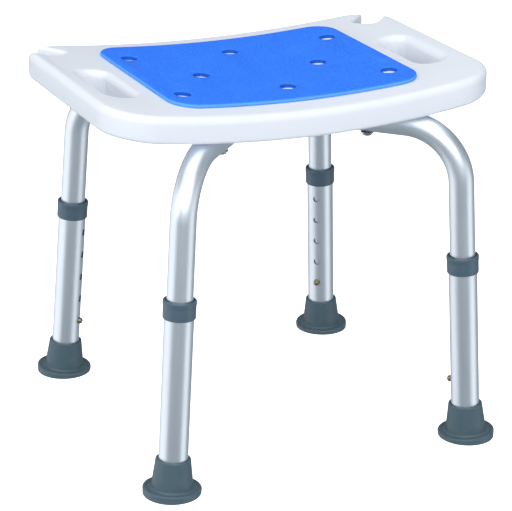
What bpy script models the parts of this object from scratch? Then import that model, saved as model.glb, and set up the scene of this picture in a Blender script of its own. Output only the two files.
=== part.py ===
"""A backless, height-adjustable shower stool.

A blow-moulded saddle seat with two hand slots carries a foam pad and stands on four splayed
telescopic legs. Each leg is a bent upper tube bolted into a channel under the seat, and a lower tube
that slides over it, holds by a spring button in one of five holes, and ends in a rubber foot.
Metres, +Z up; the origin is on the floor under the middle of the four feet.
"""

import math

import bmesh
import bpy
from mathutils import Matrix, Vector

# Overall layout
FRONT_FOOT_X = 0.1635
REAR_FOOT_X = 0.1568
FOOT_Y = 0.158
LEAN_X = 0.055
LEAN_Y = 0.036
GAP = 0.0003
CUTTER_REACH = 0.060

# Seat
SEAT_HALF_X = 0.2065
SEAT_HALF_Y = 0.1350
SEAT_SHIFT_Y = 0.0120
SEAT_CORNER = 0.046
SEAT_BOW = 0.070
SEAT_BOTTOM = 0.3310
SEAT_THICKNESS = 0.0265
SEAT_RISE = 0.0155
SEAT_TOP_FILLET = 0.0080
SEAT_BOTTOM_FILLET = 0.0040
SEAT_WALL = 0.0030
HOLLOW_TOP_ROUND = 0.0040
HOLLOW_BOTTOM_ROUND = 0.0020
PILLAR_WALL = 0.0040
SEAT_STRIPS = 13
VENT_RADIUS = 0.0025
VENT_Y = 0.085

# Hand slots, rear notches and drain holes
SLOT_X = 0.1675
SLOT_Y = -0.0040
SLOT_HALF_X = 0.0140
SLOT_HALF_Y = 0.0480
SLOT_FLARE = 0.0060
NOTCH_X = 0.1930
NOTCH_Y = 0.1280
NOTCH_ANGLE = 42
NOTCH_HALF_LENGTH = 0.0300
NOTCH_HALF_WIDTH = 0.0135
NOTCH_CORNER = 0.0090
NOTCH_FLARE = 0.0025
DRAIN_RADIUS = 0.0060
HOLE_X = 0.1115
HOLE_Y = 0.0680
HOLES_SHIFT_Y = 0.0080
MIDDLE_HOLE_X = 0.0645
MIDDLE_HOLE_Y = -0.0050

# Pad
PAD_HALF_X = 0.1330
PAD_HALF_Y = 0.1080
PAD_CORNER = 0.026
PAD_THICKNESS = 0.0040
PAD_HOLE_RADIUS = 0.0083
PAD_STRIPS = 9

# Leg tubes
LOWER_RADIUS = 0.0143
UPPER_RADIUS = 0.0127
TUBE_WALL = 0.0012
LOWER_START = 0.0116
LOWER_END = 0.1900
UPPER_START = 0.0400
RUN_HEIGHT = 0.3250
BEND_RADIUS = 0.058
RUN_END = 0.045
CHANNEL_END = 0.0415
BEND_STEPS = 7
TUBE_SIDES = 16
FINE_STEPS = 16
SMALL_STEPS = 10

# Height setting: five holes, the button stands in the lowest
HOLE_COUNT = 5
HOLE_PITCH = 0.0254
FIRST_HOLE = 0.0605
BUTTON_HOLE_RADIUS = 0.0036
BUTTON_RADIUS = 0.0032
BUTTON_TIP = 0.0185
BUTTON_SHOULDER = 0.0103
BUTTON_FLANGE_RADIUS = 0.0042
BUTTON_FLANGE = 0.0009
SPRING_WIDTH = 0.0060
SPRING_THICKNESS = 0.0006
SPRING_APEX = 0.034
SPRING_TAIL = 0.006

# Collar, foot and its washer
COLLAR_RADIUS = 0.0163
COLLAR_START = 0.1776
COLLAR_END = 0.1962
COLLAR_ROUND = 0.0028
FOOT_TOP = 0.0355
FOOT_TOP_RADIUS = 0.0173
FOOT_NECK_RADIUS = 0.0205
FOOT_FLANGE_RADIUS = 0.0288
FOOT_FLANGE_TOP = 0.0062
FOOT_FILLET = 0.0025
FOOT_BORE_FLOOR = 0.0095
WASHER_BORE = 0.0060
WASHER_THICKNESS = 0.0015

# Leg bolts, counted from the middle of the seat along each run
BOLT_PLACES = {"inner": 0.062, "outer": 0.112}
BOLT_RADIUS = 0.0029
BOLT_HOLE_RADIUS = 0.0034
BOLT_HEAD_RADIUS = 0.0050
BOLT_HEAD_HEIGHT = 0.0026
BOLT_TOP = 0.0235
BOLT_WASHER_RADIUS = 0.0065
BOLT_WASHER_THICKNESS = 0.0012
INSERT_RADIUS = 0.0043
INSERT_START = 0.0134
INSERT_END = 0.0230

LEGS = {
    "front_left": (-1, -1),
    "front_right": (1, -1),
    "rear_left": (-1, 1),
    "rear_right": (1, 1),
}

COLOURS = {
    "white_hdpe": ((0.76, 0.78, 0.83), 0.42, 0.0),
    "blue_eva_foam": ((0.047, 0.235, 0.98), 0.85, 0.0),
    "anodised_aluminium": ((0.72, 0.75, 0.78), 0.34, 1.0),
    "grey_plastic": ((0.11, 0.16, 0.21), 0.50, 0.0),
    "grey_rubber": ((0.12, 0.17, 0.22), 0.72, 0.0),
    "zinc_steel": ((0.55, 0.56, 0.58), 0.30, 1.0),
    "spring_steel": ((0.42, 0.43, 0.45), 0.28, 1.0),
    "brass": ((0.60, 0.44, 0.20), 0.30, 1.0),
}


# Scene, collections and materials


def clear_scene():
    """Remove every object and the startup collection."""
    for obj in list(bpy.data.objects):
        bpy.data.objects.remove(obj, do_unlink=True)
    for collection in list(bpy.data.collections):
        bpy.data.collections.remove(collection)


def add_collection(name, hidden=False):
    collection = bpy.data.collections.new(name)
    collection.hide_render = hidden
    bpy.context.scene.collection.children.link(collection)
    return collection


def add_material(name, finish):
    """A Principled material of its own for one sub-part."""
    colour, roughness, metallic = COLOURS[finish]
    material = bpy.data.materials.new(name)
    material.use_nodes = True
    shader = material.node_tree.nodes["Principled BSDF"]
    shader.inputs["Base Color"].default_value = (*colour, 1.0)
    shader.inputs["Roughness"].default_value = roughness
    shader.inputs["Metallic"].default_value = metallic
    material.diffuse_color = (*colour, 1.0)
    return material


def add_part(name, mesh, finish, parent=None):
    """Link a mesh as one sub-part, smooth where its faces meet at under 35 degrees."""
    mesh.shade_smooth()
    mesh.set_sharp_from_angle(angle=math.radians(35))
    part = bpy.data.objects.new(name, mesh)
    part.data.materials.append(add_material(name, finish))
    part.parent = parent
    PARTS.objects.link(part)
    return part


def add_cutter(name, mesh, parent=None):
    cutter = bpy.data.objects.new(name, mesh)
    cutter.hide_render = True
    cutter.display_type = "WIRE"
    cutter.parent = parent
    CUTTERS.objects.link(cutter)
    return cutter


def combine(part, other, operation="DIFFERENCE"):
    modifier = part.modifiers.new(other.name, "BOOLEAN")
    modifier.operation = operation
    modifier.solver = "EXACT"
    modifier.object = other


def evaluated_mesh(obj, name):
    """The object's mesh with its modifiers or its curve bevel applied, welded along the caps."""
    graph = bpy.context.evaluated_depsgraph_get()
    mesh = bpy.data.meshes.new_from_object(obj.evaluated_get(graph))
    mesh.name = name
    bm = bmesh.new()
    bm.from_mesh(mesh)
    bmesh.ops.remove_doubles(bm, verts=bm.verts, dist=1e-6)
    bm.to_mesh(mesh)
    bm.free()
    return mesh


def finished_mesh(bm, name):
    bmesh.ops.recalc_face_normals(bm, faces=bm.faces)
    mesh = bpy.data.meshes.new(name)
    bm.to_mesh(mesh)
    bm.free()
    return mesh


# Shapes


def arc(centre, radius, start, end, steps):
    """Points of an arc in a plane, from one angle to another, in degrees."""
    angles = [math.radians(start + (end - start) * i / steps) for i in range(steps + 1)]
    return [(centre[0] + radius * math.cos(a), centre[1] + radius * math.sin(a)) for a in angles]


def rounded_rectangle(half_x, half_y, corner, steps=4):
    """Outline with round corners, counter-clockwise from the right side."""
    points = []
    for index, (sx, sy) in enumerate(((1, 1), (-1, 1), (-1, -1), (1, -1))):
        centre = (sx * (half_x - corner), sy * (half_y - corner))
        points += arc(centre, corner, 90 * index, 90 * index + 90, steps)
    return points


def fillet_levels(top, bottom, top_fillet, bottom_fillet, steps=2):
    """Heights and insets of a slab's wall, from the top edge's rounding to the bottom edge's."""
    upper = [(top - top_fillet + z, top_fillet - x) for x, z in arc((0, 0), top_fillet, 90, 0, steps)]
    lower = [
        (bottom + bottom_fillet + z, bottom_fillet - x) for x, z in arc((0, 0), bottom_fillet, 0, -90, 1)
    ]
    return upper + lower


def stacked(outline, levels, strips=()):
    """A closed bmesh through one outline at several heights, sliced at the given x values.

    outline(inset) gives the points, and levels are (height, inset) from the top down.
    """
    bm = bmesh.new()
    rings = [[bm.verts.new((x, y, z)) for x, y in outline(inset)] for z, inset in levels]
    for upper, lower in zip(rings, rings[1:]):
        for i in range(len(upper)):
            bm.faces.new((upper[i - 1], lower[i - 1], lower[i], upper[i]))
    bm.faces.new(rings[0])
    bm.faces.new(reversed(rings[-1]))
    for x in strips:
        bmesh.ops.bisect_plane(
            bm,
            geom=bm.verts[:] + bm.edges[:] + bm.faces[:],
            dist=1e-6,
            plane_co=(x, 0, 0),
            plane_no=(1, 0, 0),
        )
    return bm


def seat_height(x):
    """How far the saddle has risen at x, above its lowest line in the middle."""
    return SEAT_RISE * (x / SEAT_HALF_X) ** 2


def strips_across(half_x, count):
    return [half_x * (2 * i / count - 1) for i in range(1, count)]


def bend_to_seat(bm, bow=0.0, centre_x=0.0, shift_y=0.0):
    """Bow the long edges outward, move the shape into place and lay it on the saddle."""
    for vert in bm.verts:
        x = vert.co.x + centre_x
        vert.co.y *= 1 + bow * (1 - (x / SEAT_HALF_X) ** 2)
        vert.co.y += shift_y
        vert.co.x = x
        vert.co.z += seat_height(x)


def rod(radius, start, end, sides=20):
    """A closed cylinder in a bmesh between two points."""
    start = Vector(start)
    end = Vector(end)
    turn = (end - start).to_track_quat("Z", "Y").to_matrix().to_4x4()
    bm = bmesh.new()
    bmesh.ops.create_cone(
        bm,
        cap_ends=True,
        segments=sides,
        radius1=radius,
        radius2=radius,
        depth=(end - start).length,
        matrix=Matrix.Translation((start + end) / 2) @ turn,
    )
    return bm


def rod_mesh(name, radius, start, end, sides=20):
    return finished_mesh(rod(radius, start, end, sides), name)


def turned(name, profile, finish, parent, closed=False, steps=FINE_STEPS):
    """A turned sub-part: a profile of (radius, height) points with a Screw modifier."""
    mesh = bpy.data.meshes.new(name)
    edges = [(i, i + 1) for i in range(len(profile) - 1)]
    if closed:
        edges.append((len(profile) - 1, 0))
    mesh.from_pydata([(r, 0, z) for r, z in profile], edges, [])
    part = add_part(name, mesh, finish, parent)
    screw = part.modifiers.new("Turn", "SCREW")
    screw.steps = steps
    screw.render_steps = steps
    screw.use_smooth_shade = True
    screw.use_merge_vertices = True
    screw.merge_threshold = 1e-5
    return part


def pipe_mesh(name, points, radius, capped):
    """A round tube's surface along points, from a curve with a bevel, as a mesh."""
    curve = bpy.data.curves.new(name, "CURVE")
    curve.dimensions = "3D"
    curve.bevel_depth = radius
    curve.bevel_resolution = TUBE_SIDES // 2 - 2
    curve.use_fill_caps = capped
    spline = curve.splines.new("POLY")
    spline.points.add(len(points) - 1)
    for spline_point, point in zip(spline.points, points):
        spline_point.co = (*point, 1)
    guide = bpy.data.objects.new(name, curve)
    CUTTERS.objects.link(guide)
    mesh = evaluated_mesh(guide, name)
    bpy.data.objects.remove(guide)
    return mesh


# Seat and pad


def seat_outline(inset):
    return rounded_rectangle(SEAT_HALF_X - inset, SEAT_HALF_Y - inset, SEAT_CORNER - inset, 6)


def slot_outline(grow):
    return rounded_rectangle(SLOT_HALF_X + grow, SLOT_HALF_Y + grow, SLOT_HALF_X + grow - 0.0005)


def notch_outline(grow):
    return rounded_rectangle(NOTCH_HALF_LENGTH + grow, NOTCH_HALF_WIDTH + grow, NOTCH_CORNER + grow, 3)


def hole_outline(radius, grow):
    sides = 12
    return arc((0, 0), radius + grow, 10, 370 - 360 / sides, sides - 1)


def drain_places():
    """Centres of the eight drain holes: two rows of three, and two between them."""
    rows = [(x, y) for y in (HOLE_Y, -HOLE_Y) for x in (-HOLE_X, 0.0, HOLE_X)]
    middle = [(side * MIDDLE_HOLE_X, MIDDLE_HOLE_Y) for side in (-1, 1)]
    return [(x, y + HOLES_SHIFT_Y) for x, y in rows + middle]


def opening_levels(flare, grow):
    """A through opening's wall, flared at the seat's top face unless flare is 0."""
    top = SEAT_BOTTOM + SEAT_THICKNESS
    above = 0.004
    levels = [(top + above, grow), (SEAT_BOTTOM - 0.010, grow)]
    if flare:
        levels[:1] = [(top + above, flare + grow + above), (top, flare + grow), (top - flare, grow)]
    return levels


def seat_openings(grow=0.0):
    """(name, bmesh) of every opening that goes right through the seat, grown all round by grow."""
    found = []
    for side, sign in (("left", -1), ("right", 1)):
        slot = stacked(slot_outline, opening_levels(SLOT_FLARE, grow))
        bend_to_seat(slot, centre_x=sign * SLOT_X, shift_y=SLOT_Y)
        found.append((f"hand_slot_{side}", slot))
        notch = stacked(notch_outline, opening_levels(NOTCH_FLARE, grow))
        turn = Matrix.Rotation(math.radians(sign * NOTCH_ANGLE), 3, "Z")
        bmesh.ops.rotate(notch, matrix=turn, verts=notch.verts)
        bend_to_seat(notch, centre_x=sign * NOTCH_X, shift_y=NOTCH_Y)
        found.append((f"rear_notch_{side}", notch))
    for index, (x, y) in enumerate(drain_places()):
        drain = stacked(lambda more: hole_outline(DRAIN_RADIUS, more), opening_levels(0.0, grow))
        bend_to_seat(drain, centre_x=x, shift_y=y)
        found.append((f"drain_hole_{index}", drain))
    return found


def build_seat(routes):
    """The hollow shell: outer slab, less its cavity, the openings, the leg channels and bolt holes."""
    top = SEAT_BOTTOM + SEAT_THICKNESS
    strips = strips_across(SEAT_HALF_X, SEAT_STRIPS)
    levels = fillet_levels(top, SEAT_BOTTOM, SEAT_TOP_FILLET, SEAT_BOTTOM_FILLET)
    outer = stacked(seat_outline, levels, strips)
    bend_to_seat(outer, SEAT_BOW, shift_y=SEAT_SHIFT_Y)
    seat = add_part("seat_shell", finished_mesh(outer, "seat_shell"), "white_hdpe")

    ceiling = top - SEAT_WALL
    floor = SEAT_BOTTOM + SEAT_WALL
    hollow = [(ceiling, SEAT_WALL + HOLLOW_TOP_ROUND), (ceiling - HOLLOW_TOP_ROUND, SEAT_WALL)]
    hollow += [(floor + HOLLOW_BOTTOM_ROUND, SEAT_WALL), (floor, SEAT_WALL + HOLLOW_BOTTOM_ROUND)]
    inner = stacked(seat_outline, hollow, strips)
    bend_to_seat(inner, SEAT_BOW, shift_y=SEAT_SHIFT_Y)
    cavity = add_cutter("cavity", finished_mesh(inner, "cavity"))
    for name, shape in seat_openings(SEAT_WALL):
        combine(cavity, add_cutter(f"{name}_wall", finished_mesh(shape, name)))
    for leg, route in routes.items():
        keep_out = pipe_mesh(f"{leg}_channel_wall", route, UPPER_RADIUS + GAP + SEAT_WALL, True)
        combine(cavity, add_cutter(f"{leg}_channel_wall", keep_out))
        for place, centre in bolt_centres(leg).items():
            reach = centre + Vector((0, 0, CUTTER_REACH))
            pillar = rod_mesh("pillar", INSERT_RADIUS + PILLAR_WALL, centre, reach, 12)
            combine(cavity, add_cutter(f"{leg}_{place}_pillar", pillar))
    combine(seat, cavity)

    for name, shape in seat_openings():
        combine(seat, add_cutter(name, finished_mesh(shape, name)))
    for leg, route in routes.items():
        channel = pipe_mesh(f"{leg}_channel", route, UPPER_RADIUS + GAP, True)
        combine(seat, add_cutter(f"{leg}_channel", channel))
        for place, centre in bolt_centres(leg).items():
            top_of_hole = centre + Vector((0, 0, INSERT_END + 0.001))
            hole = rod_mesh("insert_hole", INSERT_RADIUS + GAP, centre, top_of_hole, 12)
            combine(seat, add_cutter(f"{leg}_{place}_insert_hole", hole))
    for side in (-1, 1):
        start = Vector((0, side * VENT_Y + SEAT_SHIFT_Y, SEAT_BOTTOM - SEAT_WALL))
        vent = rod_mesh("vent", VENT_RADIUS, start, start + Vector((0, 0, 3 * SEAT_WALL)), 12)
        combine(seat, add_cutter(f"vent_{'front' if side < 0 else 'rear'}", vent))


def build_pad():
    """The foam pad, lying on the saddle, with a hole over each drain."""
    underside = SEAT_BOTTOM + SEAT_THICKNESS + GAP
    levels = fillet_levels(underside + PAD_THICKNESS, underside, 0.0015, 0.0005, 1)
    shape = stacked(
        lambda inset: rounded_rectangle(PAD_HALF_X - inset, PAD_HALF_Y - inset, PAD_CORNER - inset),
        levels,
        strips_across(PAD_HALF_X, PAD_STRIPS),
    )
    bend_to_seat(shape, 0.03, shift_y=SEAT_SHIFT_Y)
    pad = add_part("seat_pad", finished_mesh(shape, "seat_pad"), "blue_eva_foam")
    for index, (x, y) in enumerate(drain_places()):
        bottom = Vector((x, y, SEAT_BOTTOM))
        hole = rod_mesh("pad_hole", PAD_HOLE_RADIUS, bottom, bottom + Vector((0, 0, CUTTER_REACH)), 14)
        combine(pad, add_cutter(f"pad_hole_{index}", hole))


# Legs


def leg_signs(leg):
    return LEGS[leg]


def leg_foot(leg):
    sx, sy = leg_signs(leg)
    foot_x = FRONT_FOOT_X if sy < 0 else REAR_FOOT_X
    return Vector((sx * foot_x, sy * FOOT_Y, 0))


def leg_axis(leg):
    """Unit vector up the leg, leaning towards the middle."""
    sx, sy = leg_signs(leg)
    return Vector((-sx * LEAN_X, -sy * LEAN_Y, 1)).normalized()


def corner_point(leg):
    """Where the leg's axis reaches the height of the run under the seat."""
    axis = leg_axis(leg)
    return leg_foot(leg) + axis * (RUN_HEIGHT / axis.z)


def run_direction(leg):
    """Unit vector along the run, level, towards the middle of the seat."""
    corner = corner_point(leg)
    return Vector((-corner.x, -corner.y, 0)).normalized()


def bolt_centres(leg):
    """Points on the run's axis where its two bolts cross it."""
    inward = run_direction(leg)
    middle = Vector((0, 0, RUN_HEIGHT))
    return {place: middle - inward * reach for place, reach in BOLT_PLACES.items()}


def upper_route(leg, start=UPPER_START, end=RUN_END):
    """Centre line of the upper tube: up the leg, round the bend and along the run."""
    axis = leg_axis(leg)
    inward = run_direction(leg)
    corner = corner_point(leg)
    turn = axis.angle(inward)
    reach = BEND_RADIUS * math.tan(turn / 2)
    bend_start = corner - axis * reach
    side = (inward - axis * axis.dot(inward)).normalized()
    points = [leg_foot(leg) + axis * start]
    for step in range(BEND_STEPS + 1):
        angle = turn * step / BEND_STEPS
        points.append(
            bend_start + axis * BEND_RADIUS * math.sin(angle) + side * BEND_RADIUS * (1 - math.cos(angle))
        )
    points.append(Vector((0, 0, RUN_HEIGHT)) - inward * end)
    return points


def add_leg_frame(leg):
    """An empty on the floor with Z up the leg's axis and X towards the middle of the stool."""
    axis = leg_axis(leg)
    inward = -leg_foot(leg)
    inward = (inward - axis * axis.dot(inward)).normalized()
    side = axis.cross(inward)
    frame = bpy.data.objects.new(f"{leg}_frame", None)
    frame.matrix_world = Matrix.Translation(leg_foot(leg)) @ Matrix((inward, side, axis)).transposed().to_4x4()
    PARTS.objects.link(frame)
    return frame


def build_upper_tube(leg, frame):
    """The bent tube: an open pipe surface made solid inward, drilled for its bolts and its button."""
    name = f"{leg}_upper_tube"
    tube = add_part(name, pipe_mesh(name, upper_route(leg), UPPER_RADIUS, False), "anodised_aluminium")
    wall = tube.modifiers.new("Wall", "SOLIDIFY")
    wall.thickness = TUBE_WALL
    wall.offset = -1
    wall.use_even_offset = True
    drill = rod_mesh("drill", BUTTON_HOLE_RADIUS, (0.004, 0, FIRST_HOLE), (0.02, 0, FIRST_HOLE), 12)
    combine(tube, add_cutter(f"{leg}_button_drill", drill, frame))
    for place, centre in bolt_centres(leg).items():
        reach = Vector((0, 0, UPPER_RADIUS + 0.004))
        hole = rod_mesh("bolt_drill", BOLT_HOLE_RADIUS, centre - reach, centre + reach, 10)
        combine(tube, add_cutter(f"{leg}_{place}_bolt_drill", hole))


def build_end_plug(leg):
    """The plastic plug in the upper tube's inner end."""
    length = 0.009
    cap = 0.002
    neck = UPPER_RADIUS - TUBE_WALL - 0.0007
    profile = [(0, cap), (UPPER_RADIUS - 0.0008, cap), (UPPER_RADIUS, cap - 0.0008), (UPPER_RADIUS, 0)]
    profile += [(neck, 0), (neck, -length), (0, -length)]
    plug = turned(f"{leg}_end_plug", profile, "grey_plastic", None, steps=SMALL_STEPS)
    inward = run_direction(leg)
    plug.rotation_mode = "QUATERNION"
    plug.rotation_quaternion = inward.to_track_quat("Z", "Y")
    plug.location = Vector((0, 0, RUN_HEIGHT)) - inward * (RUN_END - GAP)


def build_bolts(leg):
    """For each of a leg's two bolts: the bolt, its washer and the threaded insert in the seat."""
    washer_top = -UPPER_RADIUS - GAP
    washer_bottom = washer_top - BOLT_WASHER_THICKNESS
    head_top = washer_bottom - GAP
    head_bottom = head_top - BOLT_HEAD_HEIGHT
    dome = 0.0015
    for place, centre in bolt_centres(leg).items():
        bolt = [(0, BOLT_TOP), (BOLT_RADIUS, BOLT_TOP), (BOLT_RADIUS, head_top), (BOLT_HEAD_RADIUS, head_top)]
        bolt += [(BOLT_HEAD_RADIUS, head_bottom + dome), (BOLT_HEAD_RADIUS - dome, head_bottom)]
        bolt += [(0, head_bottom)]
        turned(f"{leg}_{place}_bolt", bolt, "zinc_steel", None, steps=SMALL_STEPS).location = centre

        bore = BOLT_RADIUS + GAP
        washer = [(BOLT_WASHER_RADIUS, washer_top), (BOLT_WASHER_RADIUS, washer_bottom)]
        washer += [(bore, washer_bottom), (bore, washer_top)]
        turned(f"{leg}_{place}_washer", washer, "zinc_steel", None, True, SMALL_STEPS).location = centre

        insert = [(INSERT_RADIUS, INSERT_END), (INSERT_RADIUS, INSERT_START)]
        insert += [(bore, INSERT_START), (bore, INSERT_END)]
        turned(f"{leg}_{place}_insert", insert, "brass", None, True, SMALL_STEPS).location = centre


def build_button(leg, frame):
    """The snap button and the leaf spring that holds it out, both inside the upper tube."""
    base = BUTTON_SHOULDER - BUTTON_FLANGE
    dome = BUTTON_RADIUS * 0.75
    profile = [(0, BUTTON_TIP)]
    profile += [
        (BUTTON_RADIUS * math.sin(a), BUTTON_TIP - dome * (1 - math.cos(a)))
        for a in (math.radians(30 * i) for i in range(1, 4))
    ]
    profile += [(BUTTON_RADIUS, BUTTON_SHOULDER), (BUTTON_FLANGE_RADIUS, BUTTON_SHOULDER)]
    profile += [(BUTTON_FLANGE_RADIUS, base), (0, base)]
    button = turned(f"{leg}_snap_button", profile, "brass", frame, steps=SMALL_STEPS)
    button.rotation_euler = (0, math.radians(90), 0)
    button.location = (0, 0, FIRST_HOLE)

    near = base - GAP - SPRING_THICKNESS
    far = -(UPPER_RADIUS - TUBE_WALL - 0.0009)
    middle = (near + far) / 2
    bend = (near - far) / 2
    apex = FIRST_HOLE + SPRING_APEX
    route = [(near, FIRST_HOLE - SPRING_TAIL)]
    route += arc((middle, apex - bend), bend, 0, 180, 6)
    route += [(far, FIRST_HOLE - SPRING_TAIL)]
    bm = bmesh.new()
    verts = [bm.verts.new((x, -SPRING_WIDTH / 2, z)) for x, z in route]
    edges = [bm.edges.new(pair) for pair in zip(verts, verts[1:])]
    strip = bmesh.ops.extrude_edge_only(bm, edges=edges)
    moved = [item for item in strip["geom"] if isinstance(item, bmesh.types.BMVert)]
    bmesh.ops.translate(bm, vec=(0, SPRING_WIDTH, 0), verts=moved)
    name = f"{leg}_snap_spring"
    spring = add_part(name, finished_mesh(bm, name), "spring_steel", frame)
    leaf = spring.modifiers.new("Leaf", "SOLIDIFY")
    leaf.thickness = SPRING_THICKNESS
    leaf.offset = 0
    leaf.use_even_offset = True


def build_lower_tube(leg, frame):
    """The straight outer tube with its row of height holes on the side facing the middle."""
    inner = LOWER_RADIUS - TUBE_WALL
    profile = [(LOWER_RADIUS, LOWER_END), (LOWER_RADIUS, LOWER_START), (inner, LOWER_START), (inner, LOWER_END)]
    tube = turned(f"{leg}_lower_tube", profile, "anodised_aluminium", frame, True)
    holes = bmesh.new()
    for index in range(HOLE_COUNT):
        height = FIRST_HOLE + index * HOLE_PITCH
        bmesh.ops.create_cone(
            holes,
            cap_ends=True,
            segments=12,
            radius1=BUTTON_HOLE_RADIUS,
            radius2=BUTTON_HOLE_RADIUS,
            depth=0.012,
            matrix=Matrix.Translation((LOWER_RADIUS, 0, height)) @ Matrix.Rotation(math.radians(90), 4, "Y"),
        )
    combine(tube, add_cutter(f"{leg}_height_holes", finished_mesh(holes, "height_holes"), frame))


def build_collar(leg, frame):
    """The plastic ring over the lower tube's top end, with a lip round the upper tube."""
    bore = LOWER_RADIUS + GAP
    lip = UPPER_RADIUS + 2 * GAP
    shoulder = LOWER_END + GAP
    centre = COLLAR_RADIUS - COLLAR_ROUND
    profile = arc((centre, COLLAR_END - COLLAR_ROUND), COLLAR_ROUND, 90, 0, 2)
    profile += arc((centre + 0.0013, COLLAR_START + 0.0015), 0.0015, 0, -90, 1)
    profile += [(bore, COLLAR_START), (bore, shoulder), (lip, shoulder), (lip, COLLAR_END - 0.0016)]
    turned(f"{leg}_collar", profile, "grey_plastic", frame, True)


def build_foot(leg, frame):
    """The flared rubber foot, cut level with the floor, and the steel washer under the tube's end."""
    bore = LOWER_RADIUS + GAP
    fillet = (FOOT_NECK_RADIUS + FOOT_FILLET, FOOT_FLANGE_TOP + FOOT_FILLET)
    below = -0.006
    profile = [(0, FOOT_BORE_FLOOR), (bore, FOOT_BORE_FLOOR), (bore, FOOT_TOP)]
    profile += arc((FOOT_TOP_RADIUS - 0.0009, FOOT_TOP - 0.0009), 0.0009, 90, 0, 1)
    profile += arc(fillet, FOOT_FILLET, 180, 270, 3)
    profile += arc((FOOT_FLANGE_RADIUS - 0.0015, FOOT_FLANGE_TOP - 0.0015), 0.0015, 90, 0, 2)
    profile += [(FOOT_FLANGE_RADIUS - 0.0008, below), (0, below)]
    foot = turned(f"{leg}_rubber_foot", profile, "grey_rubber", frame)
    ground = bmesh.new()
    below_floor = Matrix.Translation(leg_foot(leg) - Vector((0, 0, CUTTER_REACH)))
    bmesh.ops.create_cube(ground, size=2 * CUTTER_REACH, matrix=below_floor)
    combine(foot, add_cutter(f"{leg}_ground", finished_mesh(ground, "ground")))

    outside = bore - GAP
    top = FOOT_BORE_FLOOR + GAP + WASHER_THICKNESS
    washer = [(outside, top), (outside, top - WASHER_THICKNESS)]
    washer += [(WASHER_BORE, top - WASHER_THICKNESS), (WASHER_BORE, top)]
    turned(f"{leg}_foot_washer", washer, "zinc_steel", frame, True, SMALL_STEPS)


def build_leg(leg):
    frame = add_leg_frame(leg)
    build_upper_tube(leg, frame)
    build_end_plug(leg)
    build_bolts(leg)
    build_button(leg, frame)
    build_lower_tube(leg, frame)
    build_collar(leg, frame)
    build_foot(leg, frame)


clear_scene()
PARTS = add_collection("shower_stool")
CUTTERS = add_collection("cutters", hidden=True)
build_seat({leg: upper_route(leg, end=CHANNEL_END) for leg in LEGS})
build_pad()
for leg_name in LEGS:
    build_leg(leg_name)
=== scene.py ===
"""Looks of a backless, height-adjustable shower stool.

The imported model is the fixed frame. Each sub-assembly of the stool is a class that holds its sizes, builds
its fine meshes in place of the plain solids and dresses them with procedural finishes. Metres, +Z up;
the origin is on the floor under the middle of the four feet, and -Y is the front.
"""

from __future__ import annotations

import logging
import math
import sys
from collections.abc import Callable, Iterable, Sequence
from dataclasses import dataclass, replace
from enum import Enum

import bmesh
import bpy
from mathutils import Matrix, Vector

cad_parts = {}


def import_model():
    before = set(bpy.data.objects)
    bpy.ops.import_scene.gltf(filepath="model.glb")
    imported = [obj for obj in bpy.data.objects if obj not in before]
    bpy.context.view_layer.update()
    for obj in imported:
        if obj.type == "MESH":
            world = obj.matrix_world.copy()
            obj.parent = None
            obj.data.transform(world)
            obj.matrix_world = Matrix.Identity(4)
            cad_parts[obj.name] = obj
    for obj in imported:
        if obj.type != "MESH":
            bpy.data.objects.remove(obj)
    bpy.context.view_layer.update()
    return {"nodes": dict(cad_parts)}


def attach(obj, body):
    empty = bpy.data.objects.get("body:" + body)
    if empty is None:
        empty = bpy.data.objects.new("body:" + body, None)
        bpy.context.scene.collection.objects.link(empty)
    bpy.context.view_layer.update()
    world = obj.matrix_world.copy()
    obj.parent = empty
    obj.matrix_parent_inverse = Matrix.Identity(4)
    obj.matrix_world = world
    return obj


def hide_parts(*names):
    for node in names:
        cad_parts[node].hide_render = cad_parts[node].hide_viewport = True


LOG = logging.getLogger("shower_stool")
SHARP_ANGLE = math.radians(32)
PAD_SHARP_ANGLE = math.radians(50)
GAP = 0.0003
FLOOR_DEPTH = 0.0002

Point2 = tuple[float, float]
Colour = tuple[float, float, float]
Steps = tuple[Point2, ...]
Outline = Callable[[float], list[Point2]]
Ring = list[bmesh.types.BMVert]


class Leg(Enum):
    """The four legs, each with the signs of its place in X and Y."""

    FRONT_LEFT = (-1, -1)
    FRONT_RIGHT = (1, -1)
    REAR_LEFT = (-1, 1)
    REAR_RIGHT = (1, 1)

    @property
    def label(self) -> str:
        """The leg's name as its nodes and bodies begin with it."""
        return self.name.lower()


# Shader maths


class Value:
    """A shader socket whose arithmetic adds Math nodes."""

    def __init__(self, graph: NodeGraph, socket: bpy.types.NodeSocket) -> None:
        """Wrap one output socket.

        Args:
            graph: The graph that the socket belongs to.
            socket: An output socket.
        """
        self.graph = graph
        self.socket = socket

    def _math(
        self, operation: str, first: Value | float, second: Value | float, clamp: bool = False
    ) -> Value:
        """Add one Math node.

        Args:
            operation: The Math node's operation.
            first: Its first value.
            second: Its second value.
            clamp: Whether the result is held between 0 and 1.

        Returns:
            The node's result.
        """
        settings = {"operation": operation, "use_clamp": clamp}
        return self.graph.add("ShaderNodeMath", settings, {0: first, 1: second})

    def __add__(self, other: Value | float) -> Value:
        """This value plus another."""
        return self._math("ADD", self, other)

    def __radd__(self, other: float) -> Value:
        """A number plus this value."""
        return self._math("ADD", other, self)

    def __sub__(self, other: Value | float) -> Value:
        """This value less another."""
        return self._math("SUBTRACT", self, other)

    def __rsub__(self, other: float) -> Value:
        """A number less this value."""
        return self._math("SUBTRACT", other, self)

    def __mul__(self, other: Value | float) -> Value:
        """This value times another."""
        return self._math("MULTIPLY", self, other)

    def __rmul__(self, other: float) -> Value:
        """A number times this value."""
        return self._math("MULTIPLY", other, self)

    def clamped(self) -> Value:
        """This value held between 0 and 1."""
        return self._math("ADD", self, 0.0, clamp=True)


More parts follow.
